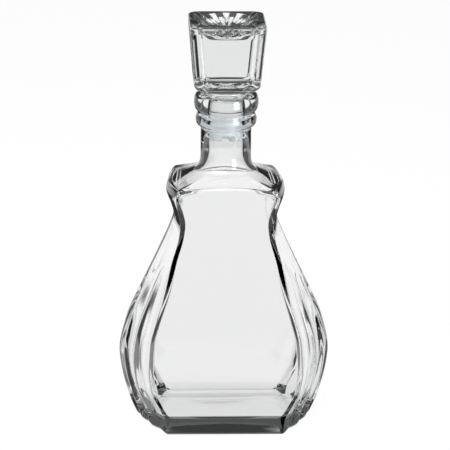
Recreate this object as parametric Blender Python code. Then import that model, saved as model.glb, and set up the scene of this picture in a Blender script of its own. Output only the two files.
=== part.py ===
"""Glass decanter with a flat front and back, ribbed flanks and a square pressed glass stopper.

Three separate pieces: the blown bottle, the solid glass stopper, and the plastic sleeve
that is pushed onto the stopper's shank and seals it in the neck.
Metres, +Z up. The origin is at the middle of the base, on the surface that the bottle stands on.
X runs across the wide front, and -Y is the front.
"""

import math

import bmesh
import bpy

# Bottle body: heights above the table
BELLY_HEIGHT = 0.050
WAIST_HEIGHT = 0.1461
SHOULDER_HEIGHT = 0.1665
CREASE_HEIGHT = 0.1731
DECK_RISE = 0.0044

# Bottle body: full widths across X at those heights
BASE_WIDTH = 0.1180
BELLY_WIDTH = 0.1427
WAIST_WIDTH = 0.0700
SHOULDER_WIDTH = 0.0802
CREASE_WIDTH = 0.0782

# Flat panel on the front and the back: full widths at those heights
PANEL_BASE_WIDTH = 0.0830
PANEL_BELLY_WIDTH = 0.1064
PANEL_WAIST_WIDTH = 0.0654
PANEL_SHOULDER_WIDTH = 0.0712
PANEL_CREASE_WIDTH = 0.0704

# How deep the bottle is from panel to panel at the table and at the crease, as the panels lean in
BASE_DEPTH = 0.0760
CREASE_DEPTH = 0.0664

# How the outline runs between two of those heights: share of the height, share of the width's change
FLARE_SHARES = ((0.25, 0.133), (0.50, 0.422), (0.75, 0.739), (0.88, 0.895))
FOOT_SHARES = ((0.25, 0.101), (0.50, 0.312), (0.75, 0.603))
SHOULDER_SHARES = ((0.42, 0.37), (0.83, 0.90))
PANEL_FLARE_SHARES = ((0.13, 0.04), (0.315, 0.244), (0.534, 0.527), (0.728, 0.717), (0.916, 0.956))
PANEL_FOOT_SHARES = ((0.44, 0.171), (0.61, 0.547), (0.80, 0.940))
PANEL_SHOULDER_SHARES = ((0.44, 0.38), (0.75, 0.75))

# The crease is an arch: it falls toward the sides, from the waist up, and the ceiling inside falls more
CREASE_ARCH = 0.0031
CEILING_ARCH = 0.0060
ARCH_POWER = 2.5
ARCH_FROM_SHARE = 0.145
CREASE_ROUND = 0.0026
INNER_CREASE_ROUND = 0.0050

# Vertical ribs on the flanks: they fade in below RIB_TOP, and start lower toward the side
RIB_TOP = 0.128
RIB_SIDE_DROP = 0.018
RIB_FADE = 0.046
RIB_DEPTH = 0.0026
RIB_ROUNDNESS = 2.2
GROOVE_ANGLES = (42.0, 63.0, 82.0)

# Plan of a flank: how far it starts inside the panel's edge, and how full its corner is by height
PANEL_EDGE = 0.0015
FLANK_POWER = 1.4
CORNER_FULLNESS = ((0.12, 1.0), (0.35, 1.15), (0.85, 1.2), (0.98, 1.5))

# Base: the hollow under it, the flat band that it stands on, and the heel, higher at the sides
HEEL_ROUND = 0.0022
SIDE_HEEL_RISE = 0.0034
PUNT_WIDTH = 0.0740
PUNT_DEPTH = 0.0500
PUNT_RISE = 0.0045
STANDING_WIDTH = 0.0930
STANDING_DEPTH = 0.0690
BASE_OVAL_POWER = 2.6

# Neck and its two beads
NECK_RADIUS = 0.0171
NECK_FLARE_WIDTH = 0.0060
NECK_FLARE_HEIGHT = 0.0090
FLARE_START_ANGLE = 15.0
NECK_LENGTH = 0.0300
LOWER_BEAD_RADIUS = 0.0206
LOWER_BEAD_HEIGHT = 0.0100
BEAD_GAP = 0.0010
BEAD_GAP_RADIUS = 0.0194
UPPER_BEAD_RADIUS = 0.0218
UPPER_BEAD_HEIGHT = 0.0115
RIM_RADIUS = 0.0172
NECK_PANEL_ANGLE = 36.0

# Inside of the bottle
BORE_RADIUS = 0.0110
MOUTH_FLARE = 0.0010
PANEL_WALL = 0.0045
LOW_FLANK_WALL = 0.0070
FLANK_WALL = 0.0055
WAIST_WALL = 0.0046
SHOULDER_WALL = 0.0036
CEILING_WALL = 0.0032
BORE_FLARE_WIDTH = 0.0125
BORE_FLARE_HEIGHT = 0.0190
FLOOR_THICKNESS = 0.0095
FLOOR_ROUND = 0.0050
INNER_FOOT_EDGE = 0.0035
INNER_BELLY_EDGE = 0.0043
INNER_FLARE_EDGE = 0.0050
INNER_WAIST_EDGE = 0.0049
INNER_CREASE_EDGE = 0.0023

# Stopper: the solid glass head with a sunk window in each face, its underside and collar
HEAD_TOP_WIDTH = 0.0515
HEAD_BOTTOM_WIDTH = 0.0444
HEAD_HEIGHT = 0.0420
HEAD_CORNER = 0.0065
HEAD_TOP_ROUND = 0.0018
HEAD_UNDERSIDE = 0.0058
WINDOW_EDGE = 0.0083
WINDOW_SLOPE = 0.0016
WINDOW_DEPTH = 0.0026
WINDOW_TOP = 0.0050
WINDOW_BOTTOM = 0.0022
WINDOW_CORNER = 0.0045
COLLAR_RADIUS = 0.0150
COLLAR_HEIGHT = 0.0022

# Stopper: the plug that fills the mouth, and the thinner shank under it that the sleeve sits on
PLUG_LENGTH = 0.0118
SHANK_RADIUS = 0.0076
SHANK_LENGTH = 0.0240
SHANK_ROUND = 0.0020

# Sunburst pressed into the dished top of the stopper
STAR_RADIUS = 0.0195
STAR_DEPTH = 0.0013
DISH_DEPTH = 0.0070
STAR_RAYS = 24
STAR_RING_SHARES = (1.0, 0.88, 0.60, 0.32, 0.12)
STAR_CUT_SHARES = (0.0, 0.80, 1.0, 0.80, 0.0)

# Sealing sleeve of translucent plastic
SLEEVE_WALL = 0.0021
SLEEVE_LENGTH = 0.0172
NOTCH_DEPTH = 0.0034
NOTCH_COUNT = 4
FIN_HEIGHT = 0.0006
FIN_WIDTH = 0.0014
FIN_COUNT = 3
FIN_PITCH = 0.0046
FIRST_FIN_DROP = 0.0025

# Gap between two faces that touch on the real bottle
FIT_GAP = 0.0003

# Fineness of the meshes
PANEL_STEPS = 4
REED_STEPS = 5
INNER_PANEL_STEPS = 3
INNER_FLANK_STEPS = 8
BODY_LEVELS = 7
SMALL_LEVELS = 3
DOME_LEVELS = 4
FLARE_LEVELS = 4
BEAD_LEVELS = 6
ROUND_SEGMENTS = 48
SHARP_ANGLE = 50.0
CREASE_TURN = 78.0
CUT_OVERRUN = 0.0060

# Heights that follow from the sizes above
DECK_HEIGHT = CREASE_HEIGHT + DECK_RISE
LOWER_BEAD_BOTTOM = DECK_HEIGHT + NECK_LENGTH
UPPER_BEAD_BOTTOM = LOWER_BEAD_BOTTOM + LOWER_BEAD_HEIGHT + BEAD_GAP
RIM_HEIGHT = UPPER_BEAD_BOTTOM + UPPER_BEAD_HEIGHT
COLLAR_BOTTOM = RIM_HEIGHT + FIT_GAP
SLEEVE_TOP = COLLAR_BOTTOM - PLUG_LENGTH - FIT_GAP


def spline(points, at):
    """Smooth curve through (place, value) points, without overshoot, read at one place."""
    if at <= points[0][0]:
        return points[0][1]
    if at >= points[-1][0]:
        return points[-1][1]
    widths = [b[0] - a[0] for a, b in zip(points, points[1:])]
    slopes = [(b[1] - a[1]) / w for a, b, w in zip(points, points[1:], widths)]
    tangents = [slopes[0]]
    for before, after in zip(slopes, slopes[1:]):
        level = before * after <= 0
        tangents.append(0 if level else 2 * before * after / (before + after))
    tangents.append(slopes[-1])
    i = next(k for k, b in enumerate(points[1:]) if at <= b[0])
    (x0, y0), (x1, y1) = points[i], points[i + 1]
    t = (at - x0) / (x1 - x0)
    rise = t * t * (3 - 2 * t)
    leave = t * (1 - t) ** 2 * widths[i] * tangents[i]
    arrive = t * t * (1 - t) * widths[i] * tangents[i + 1]
    return y0 + (y1 - y0) * rise + leave - arrive


def between(start, end, shares):
    """Points of an outline from one (height, size) to another, by shares of both."""
    (z0, w0), (z1, w1) = start, end
    return [(z0 + (z1 - z0) * h, w0 + (w1 - w0) * w) for h, w in shares]


def outline(base, belly, waist, shoulder, crease, foot_shares, flare_shares, shoulder_shares):
    """Half widths against height, from the table to the crease under the shoulder's dome."""
    foot, widest = (0, base / 2), (BELLY_HEIGHT, belly / 2)
    narrowest, top = (WAIST_HEIGHT, waist / 2), (SHOULDER_HEIGHT, shoulder / 2)
    points = [foot, *reversed(between(widest, foot, foot_shares)), widest]
    points += [*between(widest, narrowest, flare_shares), narrowest]
    points += [*between(narrowest, top, shoulder_shares), top, (CREASE_HEIGHT, crease / 2)]
    return points


FLANK_OUTLINE = outline(
    BASE_WIDTH,
    BELLY_WIDTH,
    WAIST_WIDTH,
    SHOULDER_WIDTH,
    CREASE_WIDTH,
    FOOT_SHARES,
    FLARE_SHARES,
    SHOULDER_SHARES,
)
PANEL_OUTLINE = outline(
    PANEL_BASE_WIDTH,
    PANEL_BELLY_WIDTH,
    PANEL_WAIST_WIDTH,
    PANEL_SHOULDER_WIDTH,
    PANEL_CREASE_WIDTH,
    PANEL_FOOT_SHARES,
    PANEL_FLARE_SHARES,
    PANEL_SHOULDER_SHARES,
)
FLANK_WALLS = (
    (0, LOW_FLANK_WALL),
    (BELLY_HEIGHT, FLANK_WALL),
    (0.52 * CREASE_HEIGHT, FLANK_WALL),
    (0.72 * CREASE_HEIGHT, WAIST_WALL),
    (WAIST_HEIGHT, WAIST_WALL),
    (CREASE_HEIGHT, SHOULDER_WALL),
)
INNER_PANEL_EDGES = (
    (0, INNER_FOOT_EDGE),
    (BELLY_HEIGHT, INNER_BELLY_EDGE),
    (0.52 * CREASE_HEIGHT, INNER_FLARE_EDGE),
    (WAIST_HEIGHT, INNER_WAIST_EDGE),
    (CREASE_HEIGHT, INNER_CREASE_EDGE),
)


def eased(share):
    """A share held between 0 and 1, with a soft start and end."""
    held = min(1, max(0, share))
    return held * held * (3 - 2 * held)


def half_depth(z):
    """Half the depth at a height. The flat panels lean in a little toward the top."""
    return (BASE_DEPTH + (CREASE_DEPTH - BASE_DEPTH) * z / CREASE_HEIGHT) / 2


def groove_cut(angle, z):
    """How deep a groove is cut at an angle round the flank, in degrees, and a height."""
    crests = [(-GROOVE_ANGLES[0], GROOVE_ANGLES[0])]
    crests += list(zip(GROOVE_ANGLES, GROOVE_ANGLES[1:]))
    crests += [(GROOVE_ANGLES[-1], 180 - GROOVE_ANGLES[-1])]
    low, high = next((a, b) for a, b in crests if angle <= b)
    across = abs((2 * angle - low - high) / (high - low)) ** RIB_ROUNDNESS
    top = RIB_TOP - RIB_SIDE_DROP * angle / 90
    return RIB_DEPTH * across * eased((top - z) / RIB_FADE)


def smooth_flank(angle, start, reach, depth, fullness):
    """Point of the flank's smooth plan, from the panel's edge at 0 degrees to the side at 90."""
    back = math.cos(math.radians(angle))
    along = max(0, 1 - abs(back) ** FLANK_POWER) ** (1 / fullness)
    return start + reach * along, -depth * back


def flank_point(angle, cut, *plan):
    """Point of the flank with the cut of a groove taken off square to its surface."""
    x, y = smooth_flank(angle, *plan)
    if cut > 0:
        (x0, y0), (x1, y1) = smooth_flank(angle - 1, *plan), smooth_flank(angle + 1, *plan)
        length = math.hypot(x1 - x0, y1 - y0)
        x, y = x - cut * (y1 - y0) / length, y + cut * (x1 - x0) / length
    return x, y


def all_round(quadrant):
    """Mirrors a quarter, from the front's middle to the +X side, into a whole ring of points."""
    ring = list(quadrant)
    ring += [(x, -y) for x, y in reversed(quadrant[:-1])]
    ring += [(-x, -y) for x, y in quadrant[1:]]
    ring += [(-x, y) for x, y in reversed(quadrant[1:-1])]
    return ring


def flank_angles():
    """Angles of the flank's points: every rib has as many steps, and the half rib about half."""
    stops = (0, *GROOVE_ANGLES, 90)
    counts = [REED_STEPS] * len(GROOVE_ANGLES) + [(REED_STEPS + 1) // 2]
    angles = []
    for low, high, count in zip(stops, stops[1:], counts):
        angles += [low + (high - low) * (k + 1) / count for k in range(count)]
    return angles


def outer_ring(z, inset=0):
    """The bottle's outer section at a height, as a ring of points, drawn in by the heel's inset."""
    start = spline(PANEL_OUTLINE, z) - PANEL_EDGE - inset
    depth = half_depth(z) - inset
    plan = start, spline(FLANK_OUTLINE, z) - inset - start, depth, spline(CORNER_FULLNESS, z / CREASE_HEIGHT)
    quadrant = [(start * k / PANEL_STEPS, -depth) for k in range(PANEL_STEPS + 1)]
    quadrant += [flank_point(angle, groove_cut(angle, z), *plan) for angle in flank_angles()]
    return all_round(quadrant)


def inner_ring(z, inset=0):
    """The cavity's section at a height, drawn in by the inset of the floor's rounding."""
    start = spline(PANEL_OUTLINE, z) - spline(INNER_PANEL_EDGES, z) - inset
    depth = half_depth(z) - PANEL_WALL - inset
    reach = spline(FLANK_OUTLINE, z) - spline(FLANK_WALLS, z) - inset - start
    plan = start, reach, depth, spline(CORNER_FULLNESS, z / CREASE_HEIGHT)
    quadrant = [(start * k / INNER_PANEL_STEPS, -depth) for k in range(INNER_PANEL_STEPS + 1)]
    for k in range(INNER_FLANK_STEPS):
        quadrant.append(flank_point(90 * (k + 1) / INNER_FLANK_STEPS, 0, *plan))
    return all_round(quadrant)


def oval_ring(width, depth, power, panel_steps, flank_steps):
    """A rounded oval with as many points as a section of the body, spread the same way round."""
    angles = [NECK_PANEL_ANGLE * k / panel_steps for k in range(panel_steps + 1)]
    flank_span = 90 - NECK_PANEL_ANGLE
    angles += [NECK_PANEL_ANGLE + flank_span * (k + 1) / flank_steps for k in range(flank_steps)]
    quadrant = []
    for turn in map(math.radians, angles):
        across = math.sin(turn) ** (2 / power)
        back = max(0, math.cos(turn)) ** (2 / power)
        quadrant.append((width / 2 * across, -depth / 2 * back))
    return all_round(quadrant)


def round_ring(radius, panel_steps, flank_steps):
    """A circle with as many points as a section of the body, spread the same way round."""
    return oval_ring(2 * radius, 2 * radius, 2, panel_steps, flank_steps)


def blend_rings(inside, outside, share):
    """A ring part of the way from one to another."""
    return [(a + (c - a) * share, b + (d - b) * share) for (a, b), (c, d) in zip(inside, outside)]


def flat(ring, z):
    """A ring of points laid at one height."""
    return [(x, y, z) for x, y in ring]


def start_ring(points):
    """A new bmesh with one ring of points, each numbered by its place on the ring."""
    bm = bmesh.new()
    place = bm.verts.layers.int.new("place")
    verts = [bm.verts.new(point) for point in points]
    for number, vert in enumerate(verts):
        vert[place] = number
    return bm, verts


def sweep(bm, edges, rings):
    """Extrudes a loop of edges through the rings, and returns the edges of the last one."""
    place = bm.verts.layers.int["place"]
    for ring in rings:
        swept = bmesh.ops.extrude_edge_only(bm, edges=edges)["geom"]
        ends = {item for item in swept if isinstance(item, bmesh.types.BMVert)}
        for vert in ends:
            vert.co = ring[vert[place]]
        edges = [item for item in swept if isinstance(item, bmesh.types.BMEdge)]
        edges = [edge for edge in edges if set(edge.verts) <= ends]
    return edges


def add_piece(name, bm, material):
    """Turns a finished bmesh into an object of the scene."""
    bmesh.ops.recalc_face_normals(bm, faces=bm.faces)
    mesh = bpy.data.meshes.new(name)
    bm.to_mesh(mesh)
    bm.free()
    mesh.shade_smooth()
    mesh.set_sharp_from_angle(angle=math.radians(SHARP_ANGLE))
    mesh.materials.append(material)
    piece = bpy.data.objects.new(name, mesh)
    bpy.context.scene.collection.objects.link(piece)
    return piece


def loft(name, rings, material):
    """Sweeps the first ring through all the others and closes both ends."""
    bm, verts = start_ring(rings[0])
    edges = bm.faces.new(list(reversed(verts))).edges
    edges = sweep(bm, list(edges), rings[1:])
    bmesh.ops.holes_fill(bm, edges=edges)
    return add_piece(name, bm, material)


def tube(name, rings, material):
    """Sweeps the first ring through the others and back to itself, as a wall with no ends."""
    bm, verts = start_ring(rings[0])
    edges = [bm.edges.new(ends) for ends in zip(verts, verts[1:] + verts[:1])]
    sweep(bm, edges, [*rings[1:], rings[0]])
    bmesh.ops.remove_doubles(bm, verts=bm.verts, dist=FIT_GAP / 10)
    return add_piece(name, bm, material)


def levels(low, high, count):
    """Evenly spaced heights above the low one, up to and with the high one."""
    return [low + (high - low) * (k + 1) / count for k in range(count)]


def shaped(ring, z, arch=0):
    """A ring laid at a height: the heel rises toward the sides, and the shoulder's arch falls."""
    from_height = CREASE_HEIGHT * (1 - ARCH_FROM_SHARE)
    fall = arch * eased((z - from_height) / (CREASE_HEIGHT - from_height))
    points = []
    for x, y in ring:
        beyond = (abs(x) - PANEL_BASE_WIDTH / 2) / (BASE_WIDTH / 2 - PANEL_BASE_WIDTH / 2)
        rise = SIDE_HEEL_RISE * min(1, max(0, beyond)) * max(0, 1 - z / BELLY_HEIGHT)
        points.append((x, y, z + rise - fall * (2 * abs(x) / CREASE_WIDTH) ** ARCH_POWER))
    return points


def base_rings():
    """The underside: a shallow dome, the flat band that the bottle stands on, and the rounded heel."""
    steps = PANEL_STEPS, len(flank_angles())
    punt = oval_ring(PUNT_WIDTH, PUNT_DEPTH, BASE_OVAL_POWER, *steps)
    middle = [(0, 0)] * len(punt)
    rings = []
    for k in range(1, SMALL_LEVELS + 1):
        share = k / SMALL_LEVELS
        rings.append(flat(blend_rings(middle, punt, share), PUNT_RISE * (1 - share**2) ** 2))
    rings.append(flat(oval_ring(STANDING_WIDTH, STANDING_DEPTH, BASE_OVAL_POWER, *steps), 0))
    for k in range(SMALL_LEVELS):
        turn = math.radians(90 * k / SMALL_LEVELS)
        z = HEEL_ROUND * (1 - math.cos(turn))
        rings.append(shaped(outer_ring(z, HEEL_ROUND * (1 - math.sin(turn))), z))
    return rings


def body_heights():
    """Heights of the sections from the heel to the crease, closer together where the outline turns."""
    heights = [HEEL_ROUND, *levels(HEEL_ROUND, BELLY_HEIGHT, BODY_LEVELS - 1)]
    heights += levels(BELLY_HEIGHT, WAIST_HEIGHT, 2 * BODY_LEVELS - 2)
    heights += levels(WAIST_HEIGHT, SHOULDER_HEIGHT, SMALL_LEVELS + 2)
    return [*heights, CREASE_HEIGHT - CREASE_ROUND]


def crease_rings(section, crease, radius, arch):
    """Rounds a section of the body over at a crease, for the outside or for the cavity."""
    rings = []
    for k in range(1, SMALL_LEVELS + 1):
        turn = math.radians(CREASE_TURN * k / SMALL_LEVELS)
        z = crease - radius * (1 - math.sin(turn))
        rings.append(shaped(section(z, radius * (1 - math.cos(turn))), z, arch))
    return rings


def dome_rings(edge_ring, neck_ring, high):
    """The shoulder's dome, straight from the arched crease up to the ring where the neck begins."""
    rings = []
    for k in range(1, DOME_LEVELS + 1):
        share = 1 - k / DOME_LEVELS
        ring = blend_rings(neck_ring, [(x, y) for x, y, _ in edge_ring], share)
        rings.append([(x, y, high + (edge[2] - high) * share) for (x, y), edge in zip(ring, edge_ring)])
    return rings


def flare(radius, wide, tall, foot):
    """Radii and heights of the flare under a neck or a bore, from its foot up."""
    points = []
    for k in range(FLARE_LEVELS + 1):
        turn = math.radians(FLARE_START_ANGLE + (90 - FLARE_START_ANGLE) * k / FLARE_LEVELS)
        points.append((radius + wide * (1 - math.sin(turn)), foot + tall * (1 - math.cos(turn))))
    return points


def bead_profile(bottom, height, foot_radius, radius):
    """Radii and heights round one bead of the neck, as a half ellipse."""
    points = []
    for k in range(BEAD_LEVELS + 1):
        turn = math.radians(180 * k / BEAD_LEVELS)
        z = bottom + height * (1 - math.cos(turn)) / 2
        points.append((foot_radius + (radius - foot_radius) * math.sin(turn), z))
    return points


def neck_profile():
    """Radii and heights of the neck from its flare up to the flat of the rim."""
    points = flare(NECK_RADIUS, NECK_FLARE_WIDTH, NECK_FLARE_HEIGHT, DECK_HEIGHT)
    lower = bead_profile(LOWER_BEAD_BOTTOM, LOWER_BEAD_HEIGHT, NECK_RADIUS, LOWER_BEAD_RADIUS)
    points += lower[:-2]
    points += bead_profile(UPPER_BEAD_BOTTOM, UPPER_BEAD_HEIGHT, BEAD_GAP_RADIUS, UPPER_BEAD_RADIUS)[:-1]
    points.append((RIM_RADIUS, RIM_HEIGHT))
    return points


def make_bottle(glass):
    """The blown bottle: one closed shell of glass, open at the mouth."""
    flank_steps = len(flank_angles())
    foot, *neck = neck_profile()
    rings = base_rings()
    rings += [shaped(outer_ring(z), z, CREASE_ARCH) for z in body_heights()]
    rings += crease_rings(outer_ring, CREASE_HEIGHT, CREASE_ROUND, CREASE_ARCH)
    rings += dome_rings(rings[-1], round_ring(foot[0], PANEL_STEPS, flank_steps), foot[1])
    rings += [flat(round_ring(r, PANEL_STEPS, flank_steps), z) for r, z in neck]
    bottle = loft("bottle", rings, glass)
    cavity = make_cavity(glass)
    cut = bottle.modifiers.new("cavity", "BOOLEAN")
    cut.operation = "DIFFERENCE"
    cut.object = cavity
    return bottle


def make_cavity(glass):
    """Cutter for the inside of the bottle, from its rounded floor up through the bore."""
    inner_crease = CREASE_HEIGHT - CEILING_WALL
    rings = []
    for k in range(SMALL_LEVELS + 1):
        turn = math.radians(90 * k / SMALL_LEVELS)
        z = FLOOR_THICKNESS + FLOOR_ROUND * (1 - math.cos(turn))
        rings.append(flat(inner_ring(z, FLOOR_ROUND * (1 - math.sin(turn))), z))
    heights = levels(FLOOR_THICKNESS + FLOOR_ROUND, WAIST_HEIGHT, 2 * BODY_LEVELS)
    heights += levels(WAIST_HEIGHT, inner_crease - INNER_CREASE_ROUND, SMALL_LEVELS + 1)
    rings += [shaped(inner_ring(z), z, CEILING_ARCH) for z in heights]
    rings += crease_rings(inner_ring, inner_crease, INNER_CREASE_ROUND, CEILING_ARCH)
    steps = INNER_PANEL_STEPS, INNER_FLANK_STEPS
    foot, *bore = flare(BORE_RADIUS, BORE_FLARE_WIDTH, BORE_FLARE_HEIGHT, DECK_HEIGHT - CEILING_WALL)
    rings += dome_rings(rings[-1], round_ring(foot[0], *steps), foot[1])
    profile = [
        *bore,
        (BORE_RADIUS, RIM_HEIGHT - 2 * MOUTH_FLARE),
        (BORE_RADIUS + MOUTH_FLARE, RIM_HEIGHT),
        (BORE_RADIUS + MOUTH_FLARE, RIM_HEIGHT + CUT_OVERRUN),
    ]
    rings += [flat(round_ring(radius, *steps), z) for radius, z in profile]
    cavity = loft("cavity_cutter", rings, glass)
    cavity.hide_render = True
    cavity.display_type = "WIRE"
    return cavity


def square_ring(width, sunk=0, narrower=0):
    """A square section with round corners and a sunk window in each face.

    It has as many points as the round sections. A window can be narrower than its widest.
    """
    half = width / 2
    window = half - WINDOW_EDGE - narrower
    straight = half - HEAD_CORNER
    face = [(0, sunk), (window * 0.6, sunk), (window, sunk), (window + WINDOW_SLOPE, 0), (straight, 0)]
    quadrant = [(along, inward - half) for along, inward in face]
    corner_steps = ROUND_SEGMENTS // 4 - 2 * (len(face) - 1)
    for k in range(1, corner_steps):
        turn = math.radians(90 * k / corner_steps)
        quadrant.append((straight + HEAD_CORNER * math.sin(turn), -straight - HEAD_CORNER * math.cos(turn)))
    quadrant += [(half - inward, -along) for along, inward in reversed(face)]
    return all_round(quadrant)


def circle_ring(radius):
    """An even circle that starts at the front."""
    turns = [math.tau * k / ROUND_SEGMENTS for k in range(ROUND_SEGMENTS)]
    return [(radius * math.sin(t), -radius * math.cos(t)) for t in turns]


def star_rings(top):
    """The pressed sunburst: rings whose every second point is cut in between two rays."""
    points_per_ray = ROUND_SEGMENTS // STAR_RAYS
    rings = []
    for ring_share, cut_share in zip(STAR_RING_SHARES, STAR_CUT_SHARES):
        ring = circle_ring(STAR_RADIUS * ring_share)
        drops = [STAR_DEPTH * cut_share * (number % points_per_ray) for number in range(len(ring))]
        dish = top - DISH_DEPTH * (1 - ring_share**2)
        rings.append([(x, y, dish - drop) for (x, y), drop in zip(ring, drops)])
    return rings


def window_sizes(z, bottom, top):
    """How deep the windows lie and how much narrower they are, at a height on the head's faces."""
    sunk = WINDOW_DEPTH * min(eased((top - z) / WINDOW_TOP), eased((z - bottom) / WINDOW_BOTTOM))
    rise = min(1, max(0, (z - bottom - WINDOW_BOTTOM / 2) / WINDOW_CORNER))
    return sunk, WINDOW_CORNER * (1 - math.sqrt(1 - (1 - rise) ** 2))


def head_rings(bottom):
    """The tapered sides of the head, its rounded top edge and its dished sunburst."""
    top = bottom + HEAD_HEIGHT
    face_top = top - HEAD_TOP_ROUND
    window_bottom, window_top = bottom + WINDOW_BOTTOM, face_top - WINDOW_TOP
    heights = levels(bottom, window_bottom, SMALL_LEVELS)
    heights += levels(window_bottom, window_bottom + WINDOW_CORNER, SMALL_LEVELS)
    heights += [window_top, *levels(window_top, face_top, SMALL_LEVELS)]
    rings = []
    for z in heights:
        width = HEAD_BOTTOM_WIDTH + (HEAD_TOP_WIDTH - HEAD_BOTTOM_WIDTH) * (z - bottom) / (face_top - bottom)
        rings.append(flat(square_ring(width, *window_sizes(z, bottom, face_top)), z))
    for k in range(1, SMALL_LEVELS + 1):
        turn = math.radians(90 * k / SMALL_LEVELS)
        width = HEAD_TOP_WIDTH - 2 * HEAD_TOP_ROUND * (1 - math.cos(turn))
        rings.append(flat(square_ring(width), top - HEAD_TOP_ROUND * (1 - math.sin(turn))))
    return rings + star_rings(top)


def make_stopper(glass):
    """The pressed glass stopper: shank, plug, collar, sloping underside, head and sunburst."""
    head_bottom = COLLAR_BOTTOM + COLLAR_HEIGHT + HEAD_UNDERSIDE
    shank_end = COLLAR_BOTTOM - SHANK_LENGTH
    plug_end = COLLAR_BOTTOM - PLUG_LENGTH
    plug_radius = BORE_RADIUS - FIT_GAP
    rings = []
    for k in range(SMALL_LEVELS + 1):
        turn = math.radians(90 * k / SMALL_LEVELS)
        radius = SHANK_RADIUS - SHANK_ROUND * (1 - math.sin(turn))
        rings.append(flat(circle_ring(radius), shank_end + SHANK_ROUND * (1 - math.cos(turn))))
    rings.append(flat(circle_ring(SHANK_RADIUS), plug_end))
    rings.append(flat(circle_ring(plug_radius), plug_end))
    rings.append(flat(circle_ring(plug_radius), COLLAR_BOTTOM))
    rings.append(flat(circle_ring(COLLAR_RADIUS - COLLAR_HEIGHT / 2), COLLAR_BOTTOM))
    rings.append(flat(circle_ring(COLLAR_RADIUS), COLLAR_BOTTOM + COLLAR_HEIGHT / 2))
    collar = circle_ring(COLLAR_RADIUS - COLLAR_HEIGHT / 2)
    rings.append(flat(collar, COLLAR_BOTTOM + COLLAR_HEIGHT))
    square = square_ring(HEAD_BOTTOM_WIDTH)
    for k in range(1, SMALL_LEVELS + 1):
        share = k / SMALL_LEVELS
        z = head_bottom - HEAD_UNDERSIDE * (1 - share**2)
        rings.append(flat(blend_rings(collar, square, share), z))
    return loft("stopper", rings + head_rings(head_bottom), glass)


def notched_end(radius, end):
    """The sleeve's lower edge: a ring that steps up at each notch, with sloping sides."""
    period = ROUND_SEGMENTS // NOTCH_COUNT
    half_notch = period // 4
    points = []
    for number, (x, y) in enumerate(circle_ring(radius)):
        from_middle = min(number % period, period - number % period)
        points.append((x, y, end + (NOTCH_DEPTH if from_middle <= half_notch else 0)))
    return points


def make_sleeve(plastic):
    """The sealing sleeve on the shank: fins that press on the bore, and a notched skirt."""
    inside = SHANK_RADIUS + FIT_GAP
    fin_tip = BORE_RADIUS - FIT_GAP
    body = min(fin_tip - FIN_HEIGHT, inside + SLEEVE_WALL)
    end = SLEEVE_TOP - SLEEVE_LENGTH
    rings = [flat(circle_ring(inside), SLEEVE_TOP), flat(circle_ring(body), SLEEVE_TOP)]
    for k in range(FIN_COUNT):
        middle = SLEEVE_TOP - FIRST_FIN_DROP - FIN_PITCH * k
        rings.append(flat(circle_ring(body), middle + FIN_WIDTH / 2))
        rings.append(flat(circle_ring(fin_tip), middle))
        rings.append(flat(circle_ring(body), middle - FIN_WIDTH / 2))
    rings.append(notched_end(body, end))
    rings.append(notched_end(inside, end))
    return tube("stopper_sleeve", rings, plastic)


def make_material(name, colour, roughness, transmission):
    """A plain Principled material, with nothing metallic in it."""
    material = bpy.data.materials.new(name)
    material.use_nodes = True
    shader = material.node_tree.nodes["Principled BSDF"]
    shader.inputs["Base Color"].default_value = (*colour, 1)
    shader.inputs["Roughness"].default_value = roughness
    shader.inputs["Metallic"].default_value = 0
    shader.inputs["Transmission Weight"].default_value = transmission
    return material


def main():
    """Empties the scene and builds the three pieces."""
    for old in list(bpy.data.objects):
        bpy.data.objects.remove(old)
    glass = make_material("clear_glass", (0.93, 0.95, 0.94), 0.02, 1.0)
    plastic = make_material("sleeve_plastic", (0.86, 0.89, 0.91), 0.35, 0.5)
    make_bottle(glass)
    make_stopper(glass)
    make_sleeve(plastic)


main()
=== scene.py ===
"""Clear glass decanter with ribbed flanks and a square pressed stopper, dressed over its CAD frame.

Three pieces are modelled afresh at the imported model's sizes: the blown bottle, whose outer and
inner skins are one mesh, the pressed stopper with a sunburst cut into its top, and the milky
sleeve that seals the stopper in the neck. A pale floor, a plain studio and a camera complete it.
"""

import logging
import math
from dataclasses import dataclass
from enum import Enum
from typing import Callable, Iterable, Sequence

import bmesh
import bpy
from mathutils import Matrix, Vector


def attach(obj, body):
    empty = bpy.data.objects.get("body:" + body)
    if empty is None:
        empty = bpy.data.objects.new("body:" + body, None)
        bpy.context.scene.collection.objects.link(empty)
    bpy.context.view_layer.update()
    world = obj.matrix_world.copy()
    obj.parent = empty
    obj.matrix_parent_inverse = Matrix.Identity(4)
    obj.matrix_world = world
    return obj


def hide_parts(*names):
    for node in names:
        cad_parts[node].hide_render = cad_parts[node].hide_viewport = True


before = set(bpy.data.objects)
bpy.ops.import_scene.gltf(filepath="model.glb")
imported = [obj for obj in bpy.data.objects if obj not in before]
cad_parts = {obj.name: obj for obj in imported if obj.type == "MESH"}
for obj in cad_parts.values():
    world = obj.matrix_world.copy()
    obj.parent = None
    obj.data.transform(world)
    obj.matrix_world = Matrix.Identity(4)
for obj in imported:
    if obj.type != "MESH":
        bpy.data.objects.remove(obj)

LOG = logging.getLogger("decanter")
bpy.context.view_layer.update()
MM = 0.001
SOFT = {"interpolation_type": "SMOOTHSTEP"}
# Steps round an edge, and round a small one.
ROUND_STEPS = 8
SMALL_ROUND_STEPS = 6
# How large the disc in the middle of a dished face is, as a share of the face.
DISC_SHARE = 0.03

Flat = tuple[float, float]
Ring = list[Vector]
Feed = bpy.types.Node | bpy.types.NodeSocket


class Body(Enum):
    """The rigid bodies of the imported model."""

    BOTTLE = "bottle_body"
    SLEEVE = "sleeve_body"
    STOPPER = "stopper_body"


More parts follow.
